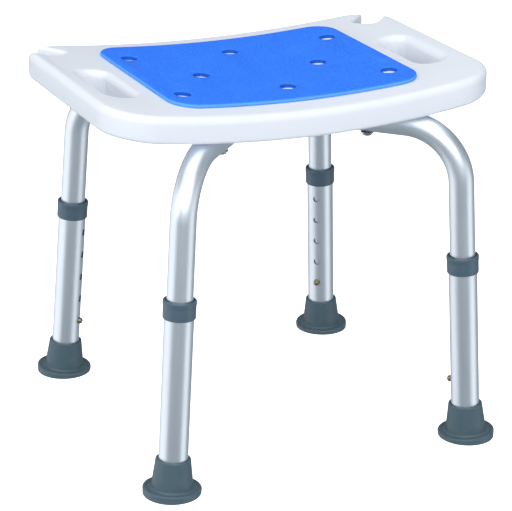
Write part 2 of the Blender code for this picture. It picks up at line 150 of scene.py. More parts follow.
class NodeGraph:
    """A node tree and the one way in which nodes are added to it."""

    def __init__(self, owner: bpy.types.Material | bpy.types.World) -> None:
        """Take the tree of a material or a world.

        Args:
            owner: The material or world.
        """
        owner.use_nodes = True
        self.tree = owner.node_tree

    def add(
        self,
        kind: str,
        settings: dict[str, object] | None = None,
        inputs: dict[str | int, object] | None = None,
        output: str | int = 0,
    ) -> Value:
        """Add a node of any type.

        Args:
            kind: The node's type.
            settings: Its properties, set first.
            inputs: The values or links of its sockets, by name or index.
            output: The output that the result stands for.

        Returns:
            The chosen output.
        """
        node = self.tree.nodes.new(kind)
        for key, value in (settings or {}).items():
            setattr(node, key, value)
        for key, value in (inputs or {}).items():
            self.feed(node.inputs[key], value)
        return Value(self, node.outputs[output])

    def feed(self, socket: bpy.types.NodeSocket, value: object) -> None:
        """Link a value to an input socket, or set the socket's own value.

        Args:
            socket: The input socket.
            value: A Value to link, or a number or tuple to set.
        """
        if isinstance(value, Value):
            self.tree.links.new(value.socket, socket)
        elif isinstance(value, tuple) and len(value) == 3 and len(socket.default_value) == 4:
            socket.default_value = (*value, 1.0)
        else:
            socket.default_value = value


class Graph(NodeGraph):
    """The node tree of one material, with its Principled shader."""

    def __init__(self, name: str) -> None:
        """Start a material.

        Args:
            name: The material's name.
        """
        self.material = bpy.data.materials.new(name)
        super().__init__(self.material)
        self.shader = self.tree.nodes["Principled BSDF"]

    def surface(self, **sockets: object) -> None:
        """Set or link sockets of the Principled shader.

        Args:
            sockets: Values by socket name, with underscores for spaces.
        """
        for name, value in sockets.items():
            self.feed(self.shader.inputs[name.replace("_", " ")], value)

    def noise(
        self,
        scale: float,
        detail: float = 2.0,
        roughness: float = 0.5,
        stretch: Sequence[float] = (1, 1, 1),
    ) -> Value:
        """Noise in the piece's own coordinates.

        Args:
            scale: Cells per metre.
            detail: Octaves.
            roughness: How strong the finer octaves are.
            stretch: Scale of the coordinates along X, Y and Z.

        Returns:
            Noise from 0 to 1.
        """
        place = self.add("ShaderNodeTexCoord", output="Object")
        moved = self.add("ShaderNodeMapping", {}, {"Vector": place, "Scale": tuple(stretch)})
        inputs = {"Vector": moved, "Scale": scale, "Detail": detail, "Roughness": roughness}
        return self.add("ShaderNodeTexNoise", {}, inputs)

    def cells(self, scale: float) -> Value:
        """Distance to the nearest of many scattered cells.

        Args:
            scale: Cells per metre.

        Returns:
            The distance, about 0 to 1.
        """
        place = self.add("ShaderNodeTexCoord", output="Object")
        return self.add("ShaderNodeTexVoronoi", {"feature": "F1"}, {"Vector": place, "Scale": scale})

    def spread(self, value: Value, low: float, high: float) -> Value:
        """Stretch the part of a value between two levels to 0 to 1, clamped."""
        inputs = {"Value": value, "From Min": low, "From Max": high}
        return self.add("ShaderNodeMapRange", {"clamp": True}, inputs)

    def blend(self, amount: Value | float, first: object, second: object) -> Value:
        """Mix two colours.

        Args:
            amount: 0 for the first, 1 for the second.
            first: A colour.
            second: A colour.

        Returns:
            The mixed colour.
        """
        settings = {"data_type": "RGBA", "clamp_factor": True}
        return self.add("ShaderNodeMix", settings, {0: amount, 6: first, 7: second}, output=2)

    def bump(self, height: Value, distance: float, strength: float = 1.0) -> Value:
        """A normal from a height.

        Args:
            height: Height from 0 to 1.
            distance: The height's real depth in metres.
            strength: Share of the effect.

        Returns:
            The bumped normal.
        """
        inputs = {"Height": height, "Distance": distance, "Strength": strength}
        return self.add("ShaderNodeBump", {}, inputs)


# Finishes


@dataclass(frozen=True)
class MouldedPlastic:
    """Blow-moulded or injection-moulded plastic with a fine satin texture."""

    name: str
    colour: Colour
    shade: Colour
    roughness: float = 0.45
    grain: float = 1400.0
    grain_depth: float = 0.00005
    ripple: float = 30.0
    ripple_depth: float = 0.00015

    def material(self) -> bpy.types.Material:
        """The plastic, with faint clouds of colour, a fine grain and a slow ripple of the mould.

        Returns:
            The material.
        """
        graph = Graph(self.name)
        clouds = graph.noise(18.0, 3.0)
        fine = graph.noise(self.grain, 2.0)
        smudges = graph.spread(graph.noise(55.0, 4.0, 0.6), 0.42, 0.72)
        colour = graph.blend(clouds * 0.7 + smudges * 0.3, self.colour, self.shade)
        rough = self.roughness + (fine - 0.5) * 0.10 + smudges * 0.07
        slow = graph.bump(graph.noise(self.ripple, 1.0), self.ripple_depth, 0.6)
        normal = graph.bump(fine, self.grain_depth, 0.5)
        graph.feed(normal.socket.node.inputs["Normal"], slow)
        graph.surface(Base_Color=colour, Roughness=rough.clamped(), Normal=normal, IOR=1.5)
        return graph.material


@dataclass(frozen=True)
class CellFoam:
    """Closed-cell foam with a skin of fine pores, and painted light on faces that stand steep: the pad's rim
    takes a lighter tone as a painted highlight, the walls of its holes a darker one as painted shade.
    """

    name: str
    colour: Colour
    shade: Colour
    # light is the tone of random patches; the finish of the hole walls sets it darker as painted shade.
    light: Colour
    # cut is painted light for faces that stand steep: a painted highlight on the pad's rim, painted shade on
    # the walls of its holes.
    cut: Colour
    roughness: float = 0.82
    flat_face: float = 0.93
    steep_face: float = 0.45

    def material(self) -> bpy.types.Material:
        """The foam: speckled colour, open pores of two sizes, and painted light in the cut colour where it
        stands steep.

        Returns:
            The material.
        """
        graph = Graph(self.name)
        pores = graph.cells(900.0)
        wide_pores = graph.cells(330.0)
        tone = graph.noise(420.0, 3.0, 0.65)
        patches = graph.noise(28.0, 3.0)
        pits = graph.spread(pores, 0.0, 0.55) * 0.6 + graph.spread(wide_pores, 0.0, 0.6) * 0.4
        speckled = graph.blend(graph.spread(tone, 0.38, 0.62), self.shade, self.colour)
        lit = graph.blend(graph.spread(patches, 0.5, 0.8) * 0.35, speckled, self.light)
        facing = graph.add("ShaderNodeNewGeometry", output="True Normal")
        upward = graph.add("ShaderNodeSeparateXYZ", {}, {0: facing}, output=2)
        # Painted light: faces that stand steep take the cut colour, a painted highlight on the rim and
        # painted shade on the hole walls.
        steep = 1.0 - graph.spread(upward, self.steep_face, self.flat_face)
        lit = graph.blend(steep * 0.8, lit, self.cut)
        normal = graph.bump(pits, 0.00028, 0.75)
        rough = self.roughness + (tone - 0.5) * 0.16
        graph.surface(Base_Color=lit, Roughness=rough.clamped(), Normal=normal, Specular_IOR_Level=0.12)
        return graph.material


@dataclass(frozen=True)
class SatinMetal:
    """Metal with fine lines drawn along its length; near its axis, if a radius is set, it takes painted
    shade: a dark colour on the walls of its holes and on its inside.
    """

    name: str
    colour: Colour
    shade: Colour
    roughness: float = 0.3
    lines: float = 900.0
    line_depth: float = 0.00002
    metallic: float = 1.0
    scuffs: float = 0.12
    # Painted shade: faces nearer the axis than this radius take the dark colour below, standing in for shade
    # in the holes and inside the tube.
    skin_radius: float = 0.0
    skin_depth: float = 0.0002
    bare: Colour = (0.10, 0.12, 0.14)

    def material(self) -> bpy.types.Material:
        """The metal: drawn lines along Z, cloudy roughness, a few long scuffs and painted shade on the walls
        of its holes.

        Returns:
            The material.
        """
        graph = Graph(self.name)
        drawn = graph.noise(self.lines, 2.0, 0.6, (1.0, 1.0, 0.02))
        clouds = graph.noise(40.0, 3.0, 0.55, (1.0, 1.0, 0.5))
        scuff = graph.spread(graph.noise(160.0, 5.0, 0.7, (1.0, 1.0, 0.12)), 0.60, 0.74)
        colour = graph.blend(clouds * 0.6 + scuff * 0.4, self.colour, self.shade)
        # Painted shade: near the axis the colour turns dark, for the shade on the walls of the holes and
        # inside the tube.
        if self.skin_radius:
            place = graph.add("ShaderNodeTexCoord", output="Object")
            level = {0: place, 1: (1.0, 1.0, 0.0)}
            across = graph.add("ShaderNodeVectorMath", {"operation": "MULTIPLY"}, level)
            reach = graph.add("ShaderNodeVectorMath", {"operation": "LENGTH"}, {0: across}, "Value")
            skin = graph.spread(reach, self.skin_radius - self.skin_depth, self.skin_radius)
            colour = graph.blend(skin, self.bare, colour)
        rough = self.roughness + (drawn - 0.5) * 0.10 + (clouds - 0.5) * 0.08 + scuff * self.scuffs
        normal = graph.bump(drawn, self.line_depth, 0.5)
        graph.surface(Base_Color=colour, Metallic=self.metallic, Roughness=rough.clamped(), Normal=normal)
        return graph.material


@dataclass(frozen=True)
class MouldedRubber:
    """Satin moulded rubber, a little dusty near the floor."""

    name: str
    colour: Colour
    dust: Colour
    roughness: float = 0.66
    dust_bottom: float = 0.001
    dust_top: float = 0.009

    def material(self) -> bpy.types.Material:
        """The rubber: fine texture, rub marks and a bloom of dust near the floor.

        Returns:
            The material.
        """
        graph = Graph(self.name)
        fine = graph.noise(1100.0, 3.0, 0.6)
        marks = graph.spread(graph.noise(90.0, 5.0, 0.65), 0.5, 0.75)
        place = graph.add("ShaderNodeTexCoord", output="Object")
        height = graph.add("ShaderNodeSeparateXYZ", {}, {0: place}, output=2)
        low = 1.0 - graph.spread(height, self.dust_bottom, self.dust_top)
        colour = graph.blend((marks * 0.35 + low * 0.30).clamped(), self.colour, self.dust)
        rough = self.roughness + (fine - 0.5) * 0.14 + marks * 0.08
        normal = graph.bump(fine, 0.00006, 0.6)
        graph.surface(Base_Color=colour, Roughness=rough.clamped(), Normal=normal, Specular_IOR_Level=0.4)
        return graph.material


SEAT_WHITE = MouldedPlastic("seat_white", (0.80, 0.82, 0.875), (0.765, 0.79, 0.85), roughness=0.40)
# The last colour is a painted highlight on the pad's steep rim.
PAD_BLUE = CellFoam(
    "pad_blue", (0.043, 0.228, 1.0), (0.026, 0.172, 0.86), (0.055, 0.26, 1.0), (0.13, 0.42, 1.0)
)
# Painted shade: the walls of the pad's holes take these darker blues.
PAD_BORE_PAINTED_SHADE = replace(PAD_BLUE, name="pad_bore", light=(0.020, 0.12, 0.62), cut=(0.014, 0.10, 0.55))
TUBE_SATIN = SatinMetal(
    "tube_satin", (0.80, 0.855, 0.92), (0.745, 0.80, 0.87), 0.42, line_depth=0.000006, scuffs=0.05
)
# The lower tube's satin, with painted shade on the walls of its height holes and inside it.
SLEEVE_SATIN_HOLE_SHADE = replace(TUBE_SATIN, name="sleeve_satin", skin_radius=0.0142)
COLLAR_GREY = MouldedPlastic(
    "collar_grey", (0.074, 0.122, 0.163), (0.058, 0.100, 0.137), 0.34, 1800.0, 0.00004
)
FOOT_GREY = MouldedRubber("foot_grey", (0.066, 0.112, 0.138), (0.105, 0.155, 0.182), 0.42)
ZINC = SatinMetal("zinc_plate", (0.40, 0.41, 0.43), (0.28, 0.29, 0.31), 0.30, 1500.0)
SPRING = SatinMetal("spring_steel", (0.42, 0.43, 0.45), (0.33, 0.34, 0.36), 0.28, 1200.0)
BRASS = SatinMetal("brass", (0.32, 0.27, 0.16), (0.21, 0.175, 0.10), 0.28, 1500.0)
HIDDEN_FINISHES = {"end_plug": COLLAR_GREY, "insert": BRASS, "snap_spring": SPRING, "foot_washer": ZINC}

Finish = MouldedPlastic | CellFoam | SatinMetal | MouldedRubber


# Mesh tools


def arc(centre: Point2, radius: float, start: float, end: float, steps: int) -> list[Point2]:
    """Points of an arc in a plane.

    Args:
        centre: The arc's centre.
        radius: Its radius.
        start: First angle in degrees.
        end: Last angle in degrees.
        steps: Number of chords.

    Returns:
        The points, both ends included.
    """
    angles = [math.radians(start + (end - start) * i / steps) for i in range(steps + 1)]
    return [(centre[0] + radius * math.cos(a), centre[1] + radius * math.sin(a)) for a in angles]


def circle(radius: float, sides: int = 40, first: float = 4.0) -> list[Point2]:
    """Points of a full circle about the origin.

    Args:
        radius: Its radius.
        sides: How many points it has.
        first: Where the first one stands, in degrees.

    Returns:
        The points.
    """
    return arc((0, 0), radius, first, first + 360 - 360 / sides, sides - 1)


def fillet(top: float, radius: float, steps: int) -> list[Point2]:
    """(height, inset) down a rounded top edge."""
    return [(top - radius + z, radius - x) for x, z in arc((0, 0), radius, 90, 0, steps)]


def rounded_rectangle(half_x: float, half_y: float, corner: float, steps: int = 12) -> list[Point2]:
    """Outline with round corners, counter-clockwise from the right side.

    Args:
        half_x: Half the width.
        half_y: Half the depth.
        corner: The corners' radius.
        steps: Chords in each corner.

    Returns:
        The outline's points.
    """
    points: list[Point2] = []
    for index, (sx, sy) in enumerate(((1, 1), (-1, 1), (-1, -1), (1, -1))):
        centre = (sx * (half_x - corner), sy * (half_y - corner))
        points += arc(centre, corner, 90 * index, 90 * index + 90, steps)
    return points


def stacked(outline: Outline, levels: Sequence[Point2], strips: Iterable[float] = ()) -> bmesh.types.BMesh:
    """A closed mesh through one outline at several heights.

    Args:
        outline: Gives the outline's points for an inset.
        levels: (height, inset) from the top down.
        strips: X values where the faces are sliced, so that they can follow a curve.

    Returns:
        The mesh.
    """
    bm = bmesh.new()
    rings = [[bm.verts.new((x, y, z)) for x, y in outline(inset)] for z, inset in levels]
    for upper, lower in zip(rings, rings[1:]):
        for i in range(len(upper)):
            bm.faces.new((upper[i - 1], lower[i - 1], lower[i], upper[i]))
    bm.faces.new(rings[0])
    bm.faces.new(reversed(rings[-1]))
    for x in strips:
        geometry = bm.verts[:] + bm.edges[:] + bm.faces[:]
        bmesh.ops.bisect_plane(bm, geom=geometry, dist=1e-6, plane_co=(x, 0, 0), plane_no=(1, 0, 0))
    return bm


def turned(profile: Sequence[Point2], steps: int = 64) -> bmesh.types.BMesh:
    """A solid of revolution about Z.

    Args:
        profile: Closed loop of (radius, height) points; points at radius 0 become poles.
        steps: Sides of the full circle.

    Returns:
        The mesh.
    """
    bm = bmesh.new()
    rings: list[Ring] = []
    for radius, height in profile:
        if radius < 1e-7:
            rings.append([bm.verts.new((0, 0, height))])
            continue
        turns = [math.tau * i / steps for i in range(steps)]
        rings.append([bm.verts.new((radius * math.cos(a), radius * math.sin(a), height)) for a in turns])
    for first, second in zip(rings, rings[1:] + rings[:1]):
        if len(first) == len(second) == 1:
            continue
        for i in range(steps):
            j = (i + 1) % steps
            corners = [first[i % len(first)], first[j % len(first)]]
            corners += [second[j % len(second)], second[i % len(second)]]
            bm.faces.new(list(dict.fromkeys(corners)))
    bmesh.ops.recalc_face_normals(bm, faces=bm.faces)
    return bm


def swept(route: Sequence[Vector], radii: Sequence[float], sides: int) -> bmesh.types.BMesh:
    """A round bar along a route, or a tube that is open at both ends.

    Args:
        route: The centre line.
        radii: The bar's radius, or the tube's outer and inner ones.
        sides: Sides of the round section.

    Returns:
        The mesh.
    """
    tangents = [(b - a).normalized() for a, b in zip(route, route[1:])]
    bends = [(a + b).normalized() for a, b in zip(tangents, tangents[1:])]
    directions = [tangents[0], *bends, tangents[-1]]
    across = directions[0].orthogonal().normalized()
    turns = [math.tau * i / sides for i in range(sides)]
    bm = bmesh.new()
    skins: list[list[Ring]] = [[] for _ in radii]
    for point, direction in zip(route, directions):
        across = (across - direction * across.dot(direction)).normalized()
        side = direction.cross(across)
        for rings, size in zip(skins, radii):
            spokes = [across * math.cos(a) + side * math.sin(a) for a in turns]
            rings.append([bm.verts.new(point + spoke * size) for spoke in spokes])
    for rings in skins:
        for first, second in zip(rings, rings[1:]):
            for i in range(sides):
                bm.faces.new((first[i - 1], first[i], second[i], second[i - 1]))
    for end in (0, -1):
        if len(skins) == 1:
            bm.faces.new(skins[0][end])
            continue
        outer, inner = skins[0][end], skins[1][end]
        for i in range(sides):
            bm.faces.new((outer[i - 1], outer[i], inner[i], inner[i - 1]))
    bmesh.ops.recalc_face_normals(bm, faces=bm.faces)
    return bm


def cylinder(radius: float, start: Vector, end: Vector, sides: int = 32) -> bmesh.types.BMesh:
    """A closed cylinder between two points.

    Args:
        radius: Its radius.
        start: First end's centre.
        end: Other end's centre.
        sides: Sides of the round section.

    Returns:
        The mesh.
    """
    turn = (end - start).to_track_quat("Z", "Y").to_matrix().to_4x4()
    bm = bmesh.new()
    bmesh.ops.create_cone(
        bm,
        cap_ends=True,
        segments=sides,
        radius1=radius,
        radius2=radius,
        depth=(end - start).length,
        matrix=Matrix.Translation((start + end) / 2) @ turn,
    )
    return bm


class Workshop:
    """Turns meshes into dressed pieces that ride on their bodies."""

    def __init__(self) -> None:
        """Start with no materials made."""
        self.materials: dict[str, bpy.types.Material] = {}

    def material(self, finish: Finish) -> bpy.types.Material:
        """The finish's material, made once.

        Args:
            finish: A finish.

        Returns:
            Its material.
        """
        if finish.name not in self.materials:
            self.materials[finish.name] = finish.material()
        return self.materials[finish.name]

    def piece(self, name: str, bm: bmesh.types.BMesh, place: Matrix | None = None) -> bpy.types.Object:
        """A new object from a mesh, linked to the scene.

        Args:
            name: The object's name.
            bm: Its mesh, which is freed.
            place: Where it stands, the origin if left out.

        Returns:
            The object.
        """
        bmesh.ops.recalc_face_normals(bm, faces=bm.faces)
        mesh = bpy.data.meshes.new(name)
        bm.to_mesh(mesh)
        bm.free()
        obj = bpy.data.objects.new(name, mesh)
        bpy.context.scene.collection.objects.link(obj)
        if place is not None:
            obj.matrix_world = place
        return obj

    def cut(self, piece: bpy.types.Object, cutters: Sequence[bpy.types.Object]) -> None:
        """Cut shapes out of a piece and remove the cutters.

        Args:
            piece: The piece, whose mesh is replaced by the cut one.
            cutters: Closed meshes.
        """
        for cutter in cutters:
            modifier = piece.modifiers.new(cutter.name, "BOOLEAN")
            modifier.operation = "DIFFERENCE"
            modifier.solver = "EXACT"
            modifier.object = cutter
        bpy.context.view_layer.update()
        graph = bpy.context.evaluated_depsgraph_get()
        mesh = bpy.data.meshes.new_from_object(piece.evaluated_get(graph))
        mesh.name = piece.name
        piece.modifiers.clear()
        piece.data = mesh
        for cutter in cutters:
            bpy.data.objects.remove(cutter)

    def dress(
        self,
        piece: bpy.types.Object,
        finish: Finish,
        slot: str,
        body: str,
        nodes: Sequence[str],
        sharp: float = SHARP_ANGLE,
    ) -> bpy.types.Object:
        """slot: A material slot's name; not used.
            body: The body it rides on.
            nodes: The nodes that it stands for.
            sharp: Faces that meet at more than this angle keep a crisp edge.

        Returns:
            The piece.
        """
        mesh = piece.data
        mesh.shade_smooth()
        mesh.set_sharp_from_angle(angle=sharp)
        mesh.materials.clear()
        mesh.materials.append(self.material(finish))
        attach(piece, body)
        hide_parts(*nodes)
        LOG.info("%s rides on %s with %d faces", piece.name, body, len(mesh.polygons))
        return piece


# Sub-assemblies


@dataclass
class Seat:
    """The blow-moulded saddle seat and the foam pad on it."""

    shop: Workshop
    half_x: float = 0.2065
    half_y: float = 0.1350
    shift_y: float = 0.0120
    corner: float = 0.046
    bow: float = 0.070
    bottom: float = 0.3310
    thickness: float = 0.0265
    rise: float = 0.0155
    top_fillet: float = 0.0080
    bottom_fillet: float = 0.0040
    slot_place: Point2 = (0.1675, -0.0040)
    slot_half: Point2 = (0.0140, 0.0480)
    slot_flare: float = 0.0075
    slot_flat: float = 0.0005
    notch_place: Point2 = (0.1930, 0.1280)
    notch_angle: float = 42.0
    notch_half: Point2 = (0.0300, 0.0135)
    notch_corner: float = 0.0090
    notch_flare: float = 0.0040
    drain_radius: float = 0.0060
    drain_flare: float = 0.0012
    under_flare: float = 0.0015
    cutter_reach: float = 0.0040
    hole_row: Point2 = (0.1115, 0.0680)
    holes_shift_y: float = 0.0080
    middle_hole: Point2 = (0.0645, -0.0050)
    pad_half: Point2 = (0.1330, 0.1080)
    pad_corner: float = 0.026
    pad_bow: float = 0.03
    pad_thickness: float = 0.0040
    pad_crown: Steps = ((0.0, 0.030), (0.00005, 0.016), (0.0002, 0.008))
    pad_edge: float = 0.0022
    pad_edge_drop: float = 0.0003
    pad_sole: Steps = ((0.0008, 0.0), (0.0002, 0.0003), (0.0, 0.0008))
    pad_least_corner: float = 0.004
    pad_hole: float = 0.0083
    pad_bore_reach: float = 0.0006
    dish_radius: float = 0.0120
    dish_depth: float = 0.0009
    dish_lift: float = 0.0001
    dish_power: float = 1.2
    strips: int = 96
    strip_offset: float = 0.37
    pad_strips: int = 72
    pad_strip_offset: float = 0.0007

    @property
    def top(self) -> float:
        """Height of the seat's top face along its lowest line."""
        return self.bottom + self.thickness

    def height(self, x: float) -> float:
        """How far the saddle has risen at x."""
        return self.rise * (x / self.half_x) ** 2

    def lay(self, bm: bmesh.types.BMesh, bow: float = 0.0, place: Point2 = (0.0, 0.0)) -> None:
        """Bow the long edges outward, move the shape into place and lay it on the saddle.

        Args:
            bm: The mesh, changed in place.
            bow: How far the long edges bow out in the middle, as a share.
            place: Where the shape's middle goes.
        """
        for vert in bm.verts:
            x = vert.co.x + place[0]
            vert.co.y *= 1 + bow * (1 - (x / self.half_x) ** 2)
            vert.co.y += place[1]
            vert.co.x = x
            vert.co.z += self.height(x)

    def holes(self) -> list[Point2]:
        """Centres of the eight drain holes: two rows of three, and two between them.

        Returns:
            The centres.
        """
        x, y = self.hole_row
        rows = [(a, b) for b in (y, -y) for a in (-x, 0.0, x)]
        middle = [(side * self.middle_hole[0], self.middle_hole[1]) for side in (-1, 1)]
        return [(a, b + self.holes_shift_y) for a, b in rows + middle]

    def opening(self, outline: Outline, flare: float) -> bmesh.types.BMesh:
        """A cutter for an opening whose edges are rounded at the top and under the seat.

        Args:
            outline: Gives the opening's outline, grown by its argument.
            flare: Radius of the top edge's rounding.

        Returns:
            The cutter.
        """
        beyond, under = self.cutter_reach, self.under_flare
        turns = [math.radians(9 * i) for i in range(11)]
        levels = [(self.top + beyond, flare + beyond)]
        levels += [(self.top - flare * (1 - math.cos(a)), flare * (1 - math.sin(a))) for a in turns]
        levels += [(self.bottom + under * (1 - math.sin(a)), under * (1 - math.cos(a))) for a in turns[::2]]
        levels += [(self.bottom - beyond, under + beyond)]
        return stacked(outline, levels)

    def openings(self) -> list[bpy.types.Object]:
        """Cutters for the hand slots, rear notches and drain holes.

        Returns:
            The cutters.
        """
        found: list[bpy.types.Object] = []
        half_x, half_y = self.slot_half
        length, width = self.notch_half

        def slot_outline(more: float) -> list[Point2]:
            """The hand slot's outline, its ends almost half round."""
            return rounded_rectangle(half_x + more, half_y + more, half_x + more - self.slot_flat, 16)

        def notch_outline(more: float) -> list[Point2]:
            """The rear notch's outline."""
            return rounded_rectangle(length + more, width + more, self.notch_corner + more, 10)

        for side, sign in (("left", -1), ("right", 1)):
            slot = self.opening(slot_outline, self.slot_flare)
            self.lay(slot, place=(sign * self.slot_place[0], self.slot_place[1]))
            found.append(self.shop.piece(f"slot_cutter_{side}", slot))
            notch = self.opening(notch_outline, self.notch_flare)
            turn = Matrix.Rotation(math.radians(sign * self.notch_angle), 3, "Z")
            bmesh.ops.rotate(notch, matrix=turn, verts=notch.verts)
            self.lay(notch, place=(sign * self.notch_place[0], self.notch_place[1]))
            found.append(self.shop.piece(f"notch_cutter_{side}", notch))
        for index, place in enumerate(self.holes()):
            drain = self.opening(lambda more: circle(self.drain_radius + more), self.drain_flare)
            self.lay(drain, place=place)
            found.append(self.shop.piece(f"drain_cutter_{index}", drain))
        return found

    def slab(self) -> bmesh.types.BMesh:
        """The seat's outer form before it is cut.

        Returns:
            The mesh.
        """
        over, under = self.top_fillet, self.bottom_fillet
        upper = arc((-over, self.top - over), over, 90, 0, 12)
        lower = arc((-under, self.bottom + under), under, 0, -90, 8)
        levels = [(z, -x) for x, z in upper + lower]
        strips = [self.half_x * (2 * i / self.strips - 1) for i in range(1, self.strips)]
        offset = self.strip_offset * self.half_x * 2 / self.strips

        def rim_outline(inset: float) -> list[Point2]:
            """The seat's outline, drawn in by its argument."""
            return rounded_rectangle(self.half_x - inset, self.half_y - inset, self.corner - inset, 20)

        return stacked(rim_outline, levels, [x + offset for x in strips])

    def build_shell(self, channels: Sequence[bpy.types.Object]) -> bpy.types.Object:
        """The seat with its openings and the channels that take the leg tubes.

        Args:
            channels: Cutters for the tubes' channels.

        Returns:
            The seat piece.
        """
        slab = self.slab()
        self.lay(slab, self.bow, (0.0, self.shift_y))
        seat = self.shop.piece("seat", slab)
        self.shop.cut(seat, [*self.openings(), *channels])
        return self.shop.dress(seat, SEAT_WHITE, "seat_plastic", "seat_frame", ["seat_shell"])

    def build_pad(self) -> bpy.types.Object:
        """The foam pad: a soft-edged sheet that lies in the saddle, dished round each hole.

        Returns:
            The pad piece.
        """
        low = self.top + GAP
        high = low + self.pad_thickness
        levels = [(high - depth, inset) for depth, inset in self.pad_crown]
        levels += [(z - self.pad_edge_drop, inset) for z, inset in fillet(high, self.pad_edge, 8)]
        levels += [(low + lift, inset) for lift, inset in self.pad_sole]
        half_x, half_y = self.pad_half
        count = self.pad_strips
        strips = [half_x * (2 * i / count - 1) + self.pad_strip_offset for i in range(1, count)]

        def sheet_outline(inset: float) -> list[Point2]:
            """The sheet's outline, drawn in by its argument."""
            corner = max(self.pad_corner - inset, self.pad_least_corner)
            return rounded_rectangle(half_x - inset, half_y - inset, corner, 16)

        sheet = stacked(sheet_outline, levels, strips)
        self.lay(sheet, self.pad_bow, (0.0, self.shift_y))
        pad = self.shop.piece("foam_pad", sheet)
        cutters = []
        for index, place in enumerate(self.holes()):
            cutters.append(self.shop.piece(f"pad_cutter_{index}", self.pad_hole_cutter(high, low, place)))
        self.shop.cut(pad, cutters)
        self.shop.dress(pad, PAD_BLUE, "pad_foam", "seat_frame", ["seat_pad"], PAD_SHARP_ANGLE)
        # Painted shade on the walls of the holes.
        self.darken_bores(pad)
        return pad

    def darken_bores(self, pad: bpy.types.Object) -> None:
        """Paint shade on the walls of the pad's holes: they take a darker blue that stands in for the shade
        there.

        Args:
            pad: The cut pad.
        """
        pad.data.materials.append(self.shop.material(PAD_BORE_PAINTED_SHADE))
        reach = self.pad_hole + self.pad_bore_reach
        for face in pad.data.polygons:
            near = min(math.dist(face.center[:2], place) for place in self.holes())
            if near < reach:
                face.material_index = 1

    def pad_hole_cutter(self, high: float, low: float, place: Point2) -> bmesh.types.BMesh:
        """A cutter for one hole of the pad, with a pressed dish round it.

        Args:
            high: Height of the pad's top face before it is laid on the saddle.
            low: Height of its underside.
            place: The hole's centre.

        Returns:
            The cutter.
        """
        width = self.dish_radius - self.pad_hole
        levels = [(high + 0.002, width)]
        for share in (i / 10 for i in range(11)):
            slope = self.dish_depth * (0.5 - 0.5 * math.cos(math.pi * share))
            levels.append((high - slope + self.dish_lift, width * (1 - share) ** self.dish_power))
        levels += [(low - 0.001, 0.0)]
        bm = stacked(lambda more: circle(self.pad_hole + more), levels)
        self.lay(bm, place=place)
        return bm


@dataclass(frozen=True)
class Collar:
    """Sizes of the plastic ring; pairs are (how far in or out, how far below its top)."""

    start: float = 0.1776
    end: float = 0.1962
    radius: float = 0.0163
    bulge: float = 0.0016
    groove: Steps = ((0.0001, 0.0050), (0.0005, 0.0058), (0.0004, 0.0070))
    base_inset: float = 0.0015
    base_round: float = 0.0011
    lip: Steps = ((0.0, 0.0032), (0.0004, 0.0016))


@dataclass(frozen=True)
class Foot:
    """Sizes of the flared foot; pairs are (how far in or out, how far below its top or flange)."""

    top: float = 0.0355
    top_radius: float = 0.0173
    top_round: float = 0.0012
    shoulder: Point2 = (0.0004, 0.0052)
    socket_floor: float = 0.0095
    socket_chamfer: float = 0.0007
    neck: float = 0.0205
    neck_fillet: float = 0.0025
    flange: float = 0.0288
    flange_top: float = 0.0062
    flange_dip: float = 0.0007
    rim: Steps = ((0.0042, 0.0010), (0.0032, 0.0002))
    rim_round: float = 0.0016
    skirt: Point2 = (0.0008, 0.006)
    tread_rings: tuple[float, ...] = (0.0085, 0.0145, 0.0205)
    tread: Steps = ((0.0, -0.001), (0.0022, -0.001), (0.0018, 0.0011), (0.0004, 0.0011))


@dataclass(frozen=True)
class SnapButton:
    """Sizes of the snap button, along its own axis from the middle of the tube."""

    radius: float = 0.0032
    tip: float = 0.0185
    shoulder: float = 0.0103
    dome: float = 0.75
    flange: float = 0.0042
    flange_depth: float = 0.0009


@dataclass(frozen=True)
class Fastener:
    """Sizes of a bolt and its washer, along the bolt from the middle of the tube."""

    shank: float = 0.0029
    tip: Point2 = (0.0024, 0.0235)
    tip_start: float = 0.0229
    head: float = 0.0050
    head_top: float = 0.0048
    head_height: float = 0.0026
    head_dome: float = 0.0018
    chamfer: float = 0.0002
    recess: float = 0.0019
    recess_depth: float = 0.0022
    washer: float = 0.0065
    washer_face: float = 0.0063
    washer_height: float = 0.0012


